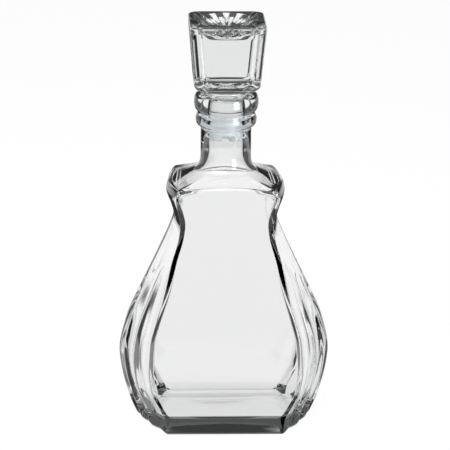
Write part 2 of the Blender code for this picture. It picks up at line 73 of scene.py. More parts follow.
class Slot(Enum):
    """The record's material slots."""

    BOTTLE = "bottle_glass"
    STOPPER = "stopper_glass"
    SLEEVE = "sleeve_plastic"


def linear(code: str) -> tuple[float, float, float, float]:
    """Turns an sRGB hex colour into linear red, green and blue.

    Args:
        code: Six hex digits, such as "F4F6F5".

    Returns:
        The linear colour with an alpha of 1.
    """
    parts = [int(code[k : k + 2], 16) / 255 for k in (0, 2, 4)]
    parts = [c / 12.92 if c <= 0.04045 else ((c + 0.055) / 1.055) ** 2.4 for c in parts]
    return (*parts, 1.0)


def add_node(
    tree: bpy.types.NodeTree, kind: str, inputs: dict | Sequence = (), **settings: object
) -> bpy.types.Node:
    """Adds one shader node, with its settings and its links.

    Args:
        tree: Node tree of a material or a world.
        kind: The node's type without its "ShaderNode" prefix.
        inputs: Values by the input's name or number, or in the order of the inputs. A socket is
            linked, and a node stands for its first output.
        settings: The node's own properties.

    Returns:
        The new node.
    """
    node = tree.nodes.new("ShaderNode" + kind)
    for name, value in settings.items():
        setattr(node, name, value)
    for name, value in inputs.items() if isinstance(inputs, dict) else enumerate(inputs):
        if isinstance(value, bpy.types.Node):
            value = value.outputs[0]
        if isinstance(value, bpy.types.NodeSocket):
            tree.links.new(value, node.inputs[name])
        else:
            node.inputs[name].default_value = value
    return node


def new_material(name: str) -> tuple[bpy.types.Material, bpy.types.NodeTree]:
    """Makes a material with an empty node tree.

    Args:
        name: The finish's name.

    Returns:
        The material and its node tree.
    """
    material = bpy.data.materials.new(name)
    material.use_nodes = True
    material.node_tree.nodes.clear()
    return material, material.node_tree


@dataclass(frozen=True)
class SodaLimeGlass:
    """Clear soda-lime glass, with the faint grey-green that it shows where it is thick.

    The surface is fire polished, so it has no roughness to see. Its mould and the breath of the
    blower leave long low waves, which make the lines inside the glass waver.
    """

    name: str
    wave_mm: float
    wave_height_mm: float
    wave_detail: float = 1.0
    ior: float = 1.52
    tint_hex: str = "B9D0C6"
    tint_per_metre: float = 4.0
    shadow_hex: str = "F2F4F3"

    def material(self) -> bpy.types.Material:
        """Builds the node material.

        Returns:
            The material.
        """
        material, tree = new_material(self.name)
        place = add_node(tree, "TexCoord").outputs["Object"]
        waves = add_node(
            tree,
            "TexNoise",
            {"Vector": place, "Scale": 1 / (self.wave_mm * MM), "Detail": self.wave_detail},
        )
        bump = add_node(
            tree,
            "Bump",
            {"Height": waves.outputs["Fac"], "Distance": self.wave_height_mm * MM, "Strength": 1.0},
        )
        glass = add_node(
            tree,
            "BsdfPrincipled",
            {
                "Base Color": linear("FFFFFF"),
                "Roughness": 0.0,
                "IOR": self.ior,
                "Transmission Weight": 1.0,
                "Normal": bump,
            },
        )
        tint = add_node(
            tree, "VolumeAbsorption", {"Color": linear(self.tint_hex), "Density": self.tint_per_metre}
        )
        ray = add_node(tree, "LightPath")
        clear = add_node(tree, "BsdfTransparent", {"Color": linear(self.shadow_hex)})
        mix = add_node(tree, "MixShader", (ray.outputs["Is Shadow Ray"], glass, clear))
        add_node(tree, "OutputMaterial", {"Surface": mix, "Volume": tint})
        return material


@dataclass(frozen=True)
class MilkyPolyethylene:
    """Low-density polyethylene, injection moulded: half clear, cool white and waxy.

    The moulded skin is finer than a picture shows, so its grain is drawn coarser than it is.
    """

    name: str
    colour_hex: str = "EEF3F8"
    roughness: float = 0.42
    ior: float = 1.51
    clearness: float = 0.35
    grain_mm: float = 1.6
    grain_height_mm: float = 0.02
    grain_detail: float = 2.0

    def material(self) -> bpy.types.Material:
        """Builds the node material.

        Returns:
            The material.
        """
        material, tree = new_material(self.name)
        place = add_node(tree, "TexCoord").outputs["Object"]
        grain = add_node(
            tree,
            "TexNoise",
            {"Vector": place, "Scale": 1 / (self.grain_mm * MM), "Detail": self.grain_detail},
        )
        bump = add_node(
            tree, "Bump", {"Height": grain.outputs["Fac"], "Distance": self.grain_height_mm * MM}
        )
        plastic = add_node(
            tree,
            "BsdfPrincipled",
            {
                "Base Color": linear(self.colour_hex),
                "Roughness": self.roughness,
                "IOR": self.ior,
                "Transmission Weight": self.clearness,
                "Normal": bump,
            },
        )
        add_node(tree, "OutputMaterial", {"Surface": plastic})
        return material


@dataclass(frozen=True)
class Curve:
    """Smooth line through a few (place, value) points, without overshoot."""

    points: tuple[Flat, ...]

    def at(self, place: float) -> float:
        """Reads the curve.

        Args:
            place: Where along the curve, held between its ends.

        Returns:
            The value there.
        """
        points = self.points
        if place <= points[0][0]:
            return points[0][1]
        if place >= points[-1][0]:
            return points[-1][1]
        pairs = list(zip(points, points[1:]))
        widths = [b[0] - a[0] for a, b in pairs]
        slopes = [(b[1] - a[1]) / w for (a, b), w in zip(pairs, widths)]
        tangents = [slopes[0]]
        for before, after in zip(slopes, slopes[1:]):
            level = before * after <= 0
            tangents.append(0.0 if level else 2 * before * after / (before + after))
        tangents.append(slopes[-1])
        i = next(k for k, (_, b) in enumerate(pairs) if place <= b[0])
        (x0, y0), (_, y1) = pairs[i]
        t = (place - x0) / widths[i]
        ends = t * (1 - t) ** 2 * tangents[i] - t * t * (1 - t) * tangents[i + 1]
        return y0 + (y1 - y0) * t * t * (3 - 2 * t) + widths[i] * ends


def eased(share: float) -> float:
    """A share held between 0 and 1, with a soft start and end."""
    held = min(1.0, max(0.0, share))
    return held * held * (3 - 2 * held)


def steps(low: float, high: float, count: int) -> list[float]:
    """Evenly spaced values above the low one, up to and with the high one."""
    return [low + (high - low) * (k + 1) / count for k in range(count)]


def turns(count: int, first: float = 0.0, last: float = 90.0) -> list[float]:
    """Evenly spaced angles in radians, with both ends, which are given in degrees."""
    return [math.radians(first + (last - first) * k / count) for k in range(count + 1)]


def all_round(quadrant: Sequence[Flat]) -> list[Flat]:
    """Mirrors a quarter section into a whole one.

    Args:
        quadrant: The quarter, from the front's middle to the +X side.

    Returns:
        The whole section, in order from the front's middle.
    """
    ring = list(quadrant)
    ring += [(x, -y) for x, y in reversed(quadrant[:-1])]
    ring += [(-x, -y) for x, y in quadrant[1:]]
    ring += [(-x, y) for x, y in reversed(quadrant[1:-1])]
    return ring


def level(section: Iterable[Flat], z: float) -> Ring:
    """Lays a flat section at one height."""
    return [Vector((x, y, z)) for x, y in section]


def between(inside: Sequence[Flat], outside: Sequence[Flat], share: float) -> list[Flat]:
    """A section part of the way from one to another."""
    return [(a + (c - a) * share, b + (d - b) * share) for (a, b), (c, d) in zip(inside, outside)]


class Skin:
    """A closed skin, grown ring by ring from a small disc by extruding its open edge."""

    def __init__(self, first: Ring) -> None:
        """Starts the skin with a disc.

        Args:
            first: The disc's edge. Every later ring has as many points, in the same order.
        """
        self.mesh = bmesh.new()
        self.place = self.mesh.verts.layers.int.new("place_on_ring")
        disc = bmesh.ops.create_circle(self.mesh, cap_ends=True, segments=len(first), radius=1)
        for number, vert in enumerate(disc["verts"]):
            vert[self.place] = number
            vert.co = first[number]
        self.edges = [edge for edge in self.mesh.edges if edge.is_boundary]

    def grow(self, rings: Iterable[Ring]) -> None:
        """Extrudes the open edge to each ring in turn.

        Args:
            rings: The rings to reach.
        """
        for ring in rings:
            swept = bmesh.ops.extrude_edge_only(self.mesh, edges=self.edges)["geom"]
            ends = {item for item in swept if isinstance(item, bmesh.types.BMVert)}
            for vert in ends:
                vert.co = ring[vert[self.place]]
            edges = [item for item in swept if isinstance(item, bmesh.types.BMEdge)]
            self.edges = [edge for edge in edges if set(edge.verts) <= ends]

    def finish(
        self, name: str, material: bpy.types.Material, sharp: float | None = None
    ) -> bpy.types.Object:
        """Closes the skin and makes it an object.

        Args:
            name: The object's name.
            material: Its finish.
            sharp: Edges that turn more than this many degrees stay sharp. Without it none does.

        Returns:
            The object, linked to the scene.
        """
        bmesh.ops.holes_fill(self.mesh, edges=self.edges)
        bmesh.ops.recalc_face_normals(self.mesh, faces=self.mesh.faces)
        data = bpy.data.meshes.new(name)
        self.mesh.to_mesh(data)
        self.mesh.free()
        data.shade_smooth()
        if sharp is not None:
            data.set_sharp_from_angle(angle=math.radians(sharp))
        data.materials.append(material)
        piece = bpy.data.objects.new(name, data)
        bpy.context.scene.collection.objects.link(piece)
        return piece


@dataclass
class Bottle:
    """The blown bottle: flat panels front and back, ribbed flanks, dome, neck and two beads."""

    flank: Curve = Curve(
        (
            (0.0, 0.0590),
            (0.0125, 0.0639),
            (0.0250, 0.0675),
            (0.0375, 0.0701),
            (0.0500, 0.07135),
            (0.0740, 0.0665),
            (0.0980, 0.0560),
            (0.1221, 0.0445),
            (0.1346, 0.0388),
            (0.1461, 0.0350),
            (0.1546, 0.0369),
            (0.1631, 0.0396),
            (0.1665, 0.0401),
            (0.1731, 0.0391),
        )
    )
    panel: Curve = Curve(
        (
            (0.0, 0.0415),
            (0.0100, 0.0422),
            (0.0194, 0.0468),
            (0.0280, 0.0512),
            (0.0450, 0.0532),
            (0.0627, 0.0524),
            (0.0803, 0.0482),
            (0.1013, 0.0424),
            (0.1200, 0.0385),
            (0.1380, 0.0336),
            (0.1461, 0.0327),
            (0.1550, 0.0338),
            (0.1650, 0.0355),
            (0.1731, 0.0352),
        )
    )
    corner: Curve = Curve(((0.0208, 1.0), (0.0606, 1.15), (0.1471, 1.2), (0.1696, 1.5)))
    inner_panel_edge: Curve = Curve(
        ((0.0, 0.0035), (0.050, 0.0043), (0.090, 0.0050), (0.1461, 0.0049), (0.1731, 0.0023))
    )
    belly_height: float = 0.050
    crease_height: float = 0.1731
    crease_arch: float = 0.0031
    ceiling_arch: float = 0.0060
    arch_power: float = 2.5
    arch_from: float = 0.148
    crease_round: Flat = (0.0058, 0.0020)
    inner_crease_round: Flat = (0.0030, 0.0030)
    crease_change: Flat = (0.012, 0.033)
    crease_turn: float = 78.0
    deck_height: float = 0.1775
    base_depth: float = 0.0760
    crease_depth: float = 0.0664
    rib_top: float = 0.128
    rib_side_drop: float = 0.018
    rib_fade: float = 0.046
    rib_depth: float = 0.0026
    rib_roundness: float = 2.2
    groove_angles: tuple[float, ...] = (42.0, 63.0, 82.0)
    angle_slack: float = 1e-9
    slope_angle: float = 1.0
    panel_edge: float = 0.0015
    flank_power: float = 1.4
    heel_round: float = 0.0022
    side_heel_rise: float = 0.0034
    punt: tuple[float, float, float] = (0.0840, 0.0600, 0.0006)
    standing: Flat = (0.0930, 0.0690)
    standing_shares: tuple[float, ...] = (0.08, 0.92, 1.0)
    base_oval_power: float = 2.6
    neck_radius: float = 0.0171
    neck_fillet: Flat = (0.0060, 0.0090)
    fillet_from: float = 15.0
    lower_bead_bottom: float = 0.2075
    lower_bead: Flat = (0.0206, 0.0100)
    upper_bead: Flat = (0.0218, 0.0115)
    bead_gap: float = 0.0010
    bead_gap_radius: float = 0.0194
    rim_radius: float = 0.0172
    neck_panel_angle: float = 36.0
    bore_radius: float = 0.0110
    bore_fillet: Flat = (0.0125, 0.0190)
    mouth_flare: Flat = (0.0010, 0.0020)
    panel_wall: float = 0.0045
    flank_wall: Curve = Curve(
        (
            (0.0, 0.0070),
            (0.050, 0.0055),
            (0.090, 0.0055),
            (0.125, 0.0046),
            (0.1461, 0.0046),
            (0.1731, 0.0036),
        )
    )
    deck_wall: float = 0.0032
    floor_thickness: float = 0.0095
    floor_round: float = 0.0050
    floor_shares: tuple[float, ...] = (0.75, 0.5, 0.25, 0.04)
    unevenness: float = 0.004
    waves: tuple[tuple[float, float, float], ...] = ((2.0, 90.0, 1.0), (3.0, -55.0, 0.6))
    wave_from_share: float = 0.6
    panel_steps: int = 10
    panel_last_step_share: float = 0.1
    reed_steps: int = 12
    base_steps: int = 16
    body_steps: int = 74
    arch_steps: int = 24
    dome_steps: int = 22
    flare_steps: int = 18
    bead_steps: int = 16
    bead_steps_left_out: tuple[int, int] = (5, 2)
    bore_steps: int = 12
    cavity_steps: int = 84
    floor_round_steps: int = 10

    def __post_init__(self) -> None:
        """Works out the heights that follow from the sizes."""
        self.upper_bead_bottom = self.lower_bead_bottom + self.lower_bead[1] + self.bead_gap
        self.rim_height = self.upper_bead_bottom + self.upper_bead[1]

    def half_depth(self, z: float) -> float:
        """Half the depth at a height. The flat panels lean in a little toward the top."""
        return (self.base_depth + (self.crease_depth - self.base_depth) * z / self.crease_height) / 2

    def groove_cut(self, angle: float, z: float) -> float:
        """How deep a groove is cut.

        Args:
            angle: Degrees round the flank, from the panel's edge at 0 to the side at 90.
            z: Height.

        Returns:
            The depth of the cut under the smooth flank.
        """
        grooves = self.groove_angles
        crests = [(-grooves[0], grooves[0]), *zip(grooves, grooves[1:])]
        crests += [(grooves[-1], 180 - grooves[-1])]
        low, high = next((a, b) for a, b in crests if angle <= b + self.angle_slack)
        across = abs((2 * angle - low - high) / (high - low)) ** self.rib_roundness
        top = self.rib_top - self.rib_side_drop * angle / 90
        return self.rib_depth * across * eased((top - z) / self.rib_fade)

    def smooth_flank(self, angle: float, plan: Sequence[float]) -> Flat:
        """Point of the smooth flank.

        Args:
            angle: Degrees round the flank.
            plan: Where the flank starts, its reach, its half depth and how round its corner is.

        Returns:
            The point.
        """
        start, reach, depth, corner = plan
        back = math.cos(math.radians(angle))
        along = max(0.0, 1 - abs(back) ** self.flank_power) ** (1 / corner)
        return start + reach * along, -depth * back

    def flank_point(self, angle: float, cut: float, plan: Sequence[float]) -> Flat:
        """Point of the flank, with a groove cut square to its surface.

        Args:
            angle: Degrees round the flank.
            cut: Depth of the groove there.
            plan: The plan, as for the smooth flank.

        Returns:
            The point.
        """
        x, y = self.smooth_flank(angle, plan)
        if cut > 0:
            x0, y0 = self.smooth_flank(angle - self.slope_angle, plan)
            x1, y1 = self.smooth_flank(angle + self.slope_angle, plan)
            length = math.hypot(x1 - x0, y1 - y0)
            x, y = x - cut * (y1 - y0) / length, y + cut * (x1 - x0) / length
        return x, y

    def flank_angles(self) -> list[float]:
        """Angles of the flank's points, with as many steps on every rib.

        Returns:
            The angles in degrees, the panel's edge left out.
        """
        stops = (0.0, *self.groove_angles, 90.0)
        counts = [self.reed_steps] * len(self.groove_angles) + [self.reed_steps // 2]
        angles: list[float] = []
        for low, high, count in zip(stops, stops[1:], counts):
            angles += steps(low, high, count)
        return angles

    def panel_points(self, start: float, depth: float) -> list[Flat]:
        """Points of the flat panel from its middle to its edge, with a last narrow step.

        Args:
            start: Half the panel's width.
            depth: Its distance from the middle of the bottle.

        Returns:
            The points.
        """
        count = self.panel_steps - 1
        points = [(start * k / count, -depth) for k in range(count)]
        narrow = self.panel_last_step_share / count
        return [*points, (start * (1 - narrow), -depth), (start, -depth)]

    def outer(self, z: float, inset: float = 0.0) -> list[Flat]:
        """The outer section at a height.

        Args:
            z: Height.
            inset: How far a rounding draws it in.

        Returns:
            The section.
        """
        start = self.panel.at(z) - self.panel_edge - inset
        depth = self.half_depth(z) - inset
        plan = start, self.flank.at(z) - inset - start, depth, self.corner.at(z)
        quadrant = self.panel_points(start, depth)
        for angle in self.flank_angles():
            quadrant.append(self.flank_point(angle, self.groove_cut(angle, z), plan))
        return all_round(quadrant)

    def inner(self, z: float, inset: float = 0.0) -> list[Flat]:
        """The cavity's section at a height.

        Args:
            z: Height.
            inset: How far a rounding draws it in.

        Returns:
            The section.
        """
        start = self.panel.at(z) - self.inner_panel_edge.at(z) - inset
        depth = self.half_depth(z) - self.panel_wall - inset
        reach = self.flank.at(z) - self.flank_wall.at(z) - inset - start
        plan = start, reach, depth, self.corner.at(z)
        quadrant = self.panel_points(start, depth)
        quadrant += [self.flank_point(angle, 0.0, plan) for angle in self.flank_angles()]
        return all_round(quadrant)

    def oval(self, width: float, depth: float, power: float = 2.0) -> list[Flat]:
        """A rounded oval with as many points as a section of the body, spread the same way.

        Args:
            width: Its width.
            depth: Its depth.
            power: 2 for an ellipse, and more for a squarer one.

        Returns:
            The section.
        """
        count = self.panel_steps
        angles = [self.neck_panel_angle * k / count for k in range(count + 1)]
        angles += steps(self.neck_panel_angle, 90.0, len(self.flank_angles()))
        quadrant = []
        for turn in map(math.radians, angles):
            across = math.sin(turn) ** (2 / power)
            back = max(0.0, math.cos(turn)) ** (2 / power)
            quadrant.append((width / 2 * across, -depth / 2 * back))
        return all_round(quadrant)

    def round(self, radius: float) -> list[Flat]:
        """A circle with as many points as a section of the body."""
        return self.oval(2 * radius, 2 * radius)

    def shaped(self, section: Sequence[Flat], z: float, arch: float) -> Ring:
        """Lays a section of the body.

        Args:
            section: The section.
            z: Its height. Near the table it rises toward the sides, as the heel does.
            arch: How far the edge of the shoulder falls toward the sides.

        Returns:
            The ring.
        """
        inner, outer = self.panel.at(0.0), self.flank.at(0.0)
        rise = self.side_heel_rise * max(0.0, 1 - z / self.belly_height)
        fall = arch * eased((z - self.arch_from) / (self.crease_height - self.arch_from))
        ring = level(section, z)
        for point in ring:
            beyond = min(1.0, max(0.0, (abs(point.x) - inner) / (outer - inner)))
            point.z += rise * beyond - fall * self.bow(point.x)
        return ring

    def bow(self, x: float) -> float:
        """How much of the arch a place across the shoulder has."""
        return (abs(x) / self.flank.at(self.crease_height)) ** self.arch_power

    def base(self) -> list[Ring]:
        """The underside: the hollow, the flat band that it stands on, and the rounded heel.

        Returns:
            The rings, from the middle out.
        """
        width, depth, rise = self.punt
        punt = self.oval(width, depth, self.base_oval_power)
        middle = [(0.0, 0.0)] * len(punt)
        rings = []
        for share in (DISC_SHARE, *steps(DISC_SHARE, 1.0, self.base_steps)):
            rings.append(level(between(middle, punt, share), rise * (1 - share**2) ** 2))
        standing = self.oval(*self.standing, self.base_oval_power)
        rings += [level(between(punt, standing, share), 0.0) for share in self.standing_shares]
        for turn in turns(ROUND_STEPS)[:-1]:
            z = self.heel_round * (1 - math.cos(turn))
            inset = self.heel_round * (1 - math.sin(turn))
            rings.append(self.shaped(self.outer(z, inset), z, 0.0))
        return rings

    def body(self) -> list[Ring]:
        """The body's outer skin from the heel to the crease.

        Returns:
            The rings, from the heel up.
        """
        heights = [self.heel_round, *steps(self.heel_round, self.arch_from, self.body_steps)]
        heights += steps(self.arch_from, self.crease_height - self.crease_round[0], self.arch_steps)
        rings = [self.shaped(self.outer(z), z, self.crease_arch) for z in heights]
        return rings + self.rounded(self.outer, self.crease_height, self.crease_round, self.crease_arch)

    def rounded(
        self, section: Callable[[float, float], list[Flat]], crease: float, radii: Flat, arch: float
    ) -> list[Ring]:
        """Rounds a section over at a crease, with a radius that changes on the way to the sides.

        Args:
            section: Gives the section at a height with an inset.
            crease: Height of the crease.
            radii: Radius of the rounding in the middle, and at the sides.
            arch: How far the crease falls toward the sides.

        Returns:
            The rings, from the walls up.
        """
        rings = []
        near, far = self.crease_change
        for turn in turns(ROUND_STEPS, 0.0, self.crease_turn)[1:]:
            heights = [crease - radius * (1 - math.sin(turn)) for radius in radii]
            insets = [radius * (1 - math.cos(turn)) for radius in radii]
            ring, side = (self.shaped(section(z, inset), z, arch) for z, inset in zip(heights, insets))
            for point, other in zip(ring, side):
                point += (other - point) * eased((abs(point.x) - near) / (far - near))
            rings.append(ring)
        return rings

    def dome(self, edge: Ring, neck: Sequence[Flat], high: float) -> list[Ring]:
        """The low dome from the crease up to where the neck begins.

        Args:
            edge: The ring at the crease.
            neck: Section of the neck's foot.
            high: Height of the neck's foot.

        Returns:
            The rings above the crease, the neck's foot last.
        """
        rings = []
        for gone in steps(0.0, 1.0, self.dome_steps):
            share = 1 - gone
            ring = level(between(neck, [(point.x, point.y) for point in edge], share), high)
            for point, start in zip(ring, edge):
                point.z += (start.z - high) * share
            rings.append(ring)
        return rings

    def flare(self, radius: float, fillet: Flat, foot: float) -> list[Flat]:
        """Radii and heights of the flare under a neck, from its foot up."""
        wide, tall = fillet
        return [
            (radius + wide * (1 - math.sin(turn)), foot + tall * (1 - math.cos(turn)))
            for turn in turns(self.flare_steps, self.fillet_from, 90.0)
        ]

    def bead(self, bottom: float, height: float, foot: float, radius: float) -> list[Flat]:
        """Radii and heights round one bead, as a half ellipse from its foot radius."""
        return [
            (foot + (radius - foot) * math.sin(turn), bottom + height * (1 - math.cos(turn)) / 2)
            for turn in turns(self.bead_steps, 0.0, 180.0)
        ]

    def neck(self) -> list[Ring]:
        """The neck's outer skin, its two beads, the rim and the bore down to the cavity.

        Returns:
            The rings, up the outside and down the inside.
        """
        profile = self.flare(self.neck_radius, self.neck_fillet, self.deck_height)[1:]
        lower_left_out, upper_left_out = self.bead_steps_left_out
        radius, height = self.lower_bead
        bead = self.bead(self.lower_bead_bottom, height, self.neck_radius, radius)
        profile += bead[:-lower_left_out]
        radius, height = self.upper_bead
        bead = self.bead(self.upper_bead_bottom, height, self.bead_gap_radius, radius)
        profile += bead[:-upper_left_out]
        profile.append((self.rim_radius, self.rim_height))
        wider, taller = self.mouth_flare
        profile.append((self.bore_radius + wider, self.rim_height))
        profile.append((self.bore_radius, self.rim_height - taller))
        flare = self.flare(self.bore_radius, self.bore_fillet, self.deck_height - self.deck_wall)
        bore = steps(self.rim_height, flare[-1][1], self.bore_steps)[1:]
        profile += [(self.bore_radius, z) for z in bore]
        profile += reversed(flare[:-1])
        return [level(self.round(radius), z) for radius, z in profile]

    def cavity(self) -> list[Ring]:
        """The inner skin from under the dome down to the middle of the floor.

        Returns:
            The rings, from the top down.
        """
        crease = self.crease_height - self.deck_wall
        radius, high = self.flare(self.bore_radius, self.bore_fillet, self.deck_height - self.deck_wall)[0]
        edge = self.rounded(self.inner, crease, self.inner_crease_round, self.ceiling_arch)
        rings = [*reversed(self.dome(edge[-1], self.round(radius), high)[:-1]), *reversed(edge)]
        bottom = self.floor_thickness + self.floor_round
        for z in steps(crease - self.inner_crease_round[0], bottom, self.cavity_steps):
            rings.append(self.shaped(self.inner(z), z, self.ceiling_arch))
        for turn in reversed(turns(self.floor_round_steps)[:-1]):
            z = self.floor_thickness + self.floor_round * (1 - math.cos(turn))
            rings.append(level(self.inner(z, self.floor_round * (1 - math.sin(turn))), z))
        edge = [(point.x, point.y) for point in rings[-1]]
        middle = [(0.0, 0.0)] * len(edge)
        for share in self.floor_shares:
            rings.append(level(between(middle, edge, share), self.floor_thickness))
        for ring in rings:
            for point in ring:
                self.waver(point)
        return rings

    def waver(self, point: Vector) -> None:
        """Moves a point of the cavity a little, as blown walls are never quite even.

        Each wave has a number of crests round the bottle, a rise in radians per metre and a height.

        Args:
            point: The point, which is moved where it is.
        """
        turn = math.atan2(point.y, point.x)
        wave = sum(tall * math.sin(crests * turn + point.z * rise) for crests, rise, tall in self.waves)
        held = min(1.0, point.xy.length / self.neck_radius - self.wave_from_share)
        point.xy *= 1 + self.unevenness * wave * held

    def build(self, material: bpy.types.Material) -> bpy.types.Object:
        """Makes the bottle.

        Args:
            material: The glass.

        Returns:
            The piece, which stands for the CAD bottle.
        """
        base = self.base()
        skin = Skin(base[0])
        skin.grow(base[1:])
        body = self.body()
        skin.grow(body)
        radius, high = self.flare(self.neck_radius, self.neck_fillet, self.deck_height)[0]
        skin.grow(self.dome(body[-1], self.round(radius), high))
        skin.grow(self.neck())
        skin.grow(self.cavity())
        return skin.finish("blown_bottle", material)


@dataclass
class Stopper:
    """The pressed stopper: shank, collar, underside, tapered square head and sunburst."""

    seat_height: float
    top_width: float = 0.0515
    bottom_width: float = 0.0444
    head_height: float = 0.0420
    corner: float = 0.0065
    top_round: float = 0.0018
    window_edge: float = 0.0083
    window_depth: float = 0.0054
    window_slope: float = 0.0028
    window_corner: float = 0.0045
    window_top: Flat = (0.0080, 0.0040)
    window_bottom: float = 0.0022
    underside: float = 0.0058
    collar_radius: float = 0.0150
    collar_height: float = 0.0022
    plug_radius: float = 0.0107
    plug_length: float = 0.0118
    shank_radius: float = 0.0076
    shank_length: float = 0.0240
    shank_round: float = 0.0020
    star_radius: float = 0.0195
    short_ray_share: float = 0.80
    star_depth: float = 0.0024
    groove_gain: float = 1.3
    groove_fade_power: float = 8.0
    dish_depth: float = 0.0054
    underside_powers: Flat = (2.4, 0.8)
    rays: int = 24
    sharp_angle: float = 28.0
    quarter_steps: int = 48
    window_steps: int = 8
    slope_steps: int = 4
    shank_steps: int = 4
    plug_steps: int = 6
    underside_steps: int = 16
    window_foot_steps: int = 24
    face_steps: int = 48
    top_steps: int = 5
    star_steps: int = 34

    def square(self, width: float, sunk: Flat = (0.0, 0.0), narrower: float = 0.0) -> list[Flat]:
        """A square section with round corners.

        The middle of a face has no point, and only one of the two points beside it is there, so a
        flat strip crosses the middle of each window and the section is very slightly one-sided.

        Args:
            width: From one face to the other.
            sunk: How deep the window in a face lies here, in its middle and at its sides.
            narrower: How far the window's round lower corners take off its sides here.

        Returns:
            The section.
        """
        half = width / 2
        window = half - self.window_edge - narrower
        outer = window + self.window_slope
        straight = half - self.corner
        middle, sides = sunk
        face = []
        for share in steps(0.0, 1.0, self.window_steps):
            face.append((window * share, middle + (sides - middle) * share**2))
        for share in steps(0.0, 1.0, self.slope_steps):
            face.append((window + (outer - window) * share, sides * (1 - eased(share))))
        face.append((straight, 0.0))
        bend = self.quarter_steps - 2 * (len(face) - 1)
        quadrant = [(along, inward - half) for along, inward in face]
        for turn in turns(bend)[1:-1]:
            x = straight + self.corner * math.sin(turn)
            quadrant.append((x, -straight - self.corner * math.cos(turn)))
        quadrant += [(half - inward, -along) for along, inward in reversed(face)]
        return all_round(quadrant)

    def window(self, z: float, bottom: float, top: float) -> tuple[Flat, float]:
        """The windows at a height on the faces.

        Args:
            z: The height.
            bottom: Height of the windows' lower edge.
            top: Height of their upper edge.

        Returns:
            How deep they lie, in the middle and at the sides, and how much narrower they are.
        """
        above = eased((z - bottom) / self.window_bottom)
        held = [min(1.0, (top - z) / height, above) for height in self.window_top]
        middle, side = (self.window_depth * share for share in held)
        rise = min(1.0, max(0.0, (z - bottom - self.window_bottom / 2) / self.window_corner))
        return (middle, side), self.window_corner * (1 - math.sqrt(1 - (1 - rise) ** 2))

    def round(self, radius: float) -> list[Flat]:
        """An even circle that starts at the front."""
        around = turns(4 * self.quarter_steps, 0.0, 360.0)[:-1]
        return [(radius * math.sin(turn), -radius * math.cos(turn)) for turn in around]

    def groove_depth(self, number: int, radius: float) -> float:
        """How deep the sunburst is cut.

        Args:
            number: Place on the ring.
            radius: Distance from the star's middle.

        Returns:
            The depth, which is 0 on the ridges between the rays and past their tips.
        """
        per_ray = 4 * self.quarter_steps // self.rays
        ray, across = divmod(number + per_ray // 2, per_ray)
        reach = self.star_radius * (self.short_ray_share if ray % 2 else 1.0)
        share = radius / reach
        if share >= 1:
            return 0.0
        along = share * (1 - share**self.groove_fade_power) * self.groove_gain
        return self.star_depth * along * (1 - abs(2 * across / per_ray - 1))

    def lower(self) -> list[Ring]:
        """The shank, the plug and the collar.

        Returns:
            The rings, from the shank's end up.
        """
        end = self.seat_height - self.shank_length
        step = self.seat_height - self.plug_length
        rings = []
        for turn in turns(SMALL_ROUND_STEPS):
            radius = self.shank_radius - self.shank_round * (1 - math.sin(turn))
            rings.append(level(self.round(radius), end + self.shank_round * (1 - math.cos(turn))))
        shank = steps(end + self.shank_round, step, self.shank_steps)
        rings += [level(self.round(self.shank_radius), z) for z in shank]
        plug = (step, *steps(step, self.seat_height, self.plug_steps))
        rings += [level(self.round(self.plug_radius), z) for z in plug]
        for turn in turns(SMALL_ROUND_STEPS, -90.0, 90.0):
            radius = self.collar_radius - self.collar_height / 2 * (1 - math.cos(turn))
            z = self.seat_height + self.collar_height * (1 + math.sin(turn)) / 2
            rings.append(level(self.round(radius), z))
        return rings

    def head(self) -> list[Ring]:
        """The underside, the tapered sides and the rounded top edge.

        Returns:
            The rings, from the collar up and in to the star.
        """
        bottom = self.seat_height + self.collar_height + self.underside
        top = bottom + self.head_height
        collar = self.round(self.collar_radius - self.collar_height / 2)
        square = self.square(self.bottom_width)
        rings = []
        fall, swell = self.underside_powers
        for share in steps(0.0, 1.0, self.underside_steps):
            z = bottom - self.underside * (1 - share**fall) ** swell
            rings.append(level(between(collar, square, share), z))
        low = bottom + self.window_bottom + self.window_corner
        high = top - self.top_round
        for z in (*steps(bottom, low, self.window_foot_steps), *steps(low, high, self.face_steps)):
            share = (z - bottom) / (self.head_height - self.top_round)
            width = self.bottom_width + (self.top_width - self.bottom_width) * share
            rings.append(level(self.square(width, *self.window(z, bottom, high)), z))
        for turn in turns(ROUND_STEPS)[1:]:
            width = self.top_width - 2 * self.top_round * (1 - math.cos(turn))
            rings.append(level(self.square(width), top - self.top_round * (1 - math.sin(turn))))
        edge = self.square(self.top_width - 2 * self.top_round)
        rim = self.round(self.star_radius)
        rings += [level(between(edge, rim, share), top) for share in steps(0.0, 1.0, self.top_steps)]
        return rings

    def star(self) -> list[Ring]:
        """The sunburst in its dish.

        Returns:
            The rings, from the tips of the rays to the middle.
        """
        top = self.seat_height + self.collar_height + self.underside + self.head_height
        rings = []
        for share in steps(1.0, DISC_SHARE, self.star_steps):
            radius = self.star_radius * share
            ring = level(self.round(radius), top - self.dish_depth * (1 - share**2))
            for number, point in enumerate(ring):
                point.z -= self.groove_depth(number, radius)
            rings.append(ring)
        return rings

    def build(self, material: bpy.types.Material) -> bpy.types.Object:
        """Makes the stopper.

        Args:
            material: The glass.

        Returns:
            The piece, which stands for the CAD stopper.
        """
        lower = self.lower()
        skin = Skin(lower[0])
        skin.grow(lower[1:])
        skin.grow(self.head())
        skin.grow(self.star())
        return skin.finish("pressed_stopper", material, self.sharp_angle)


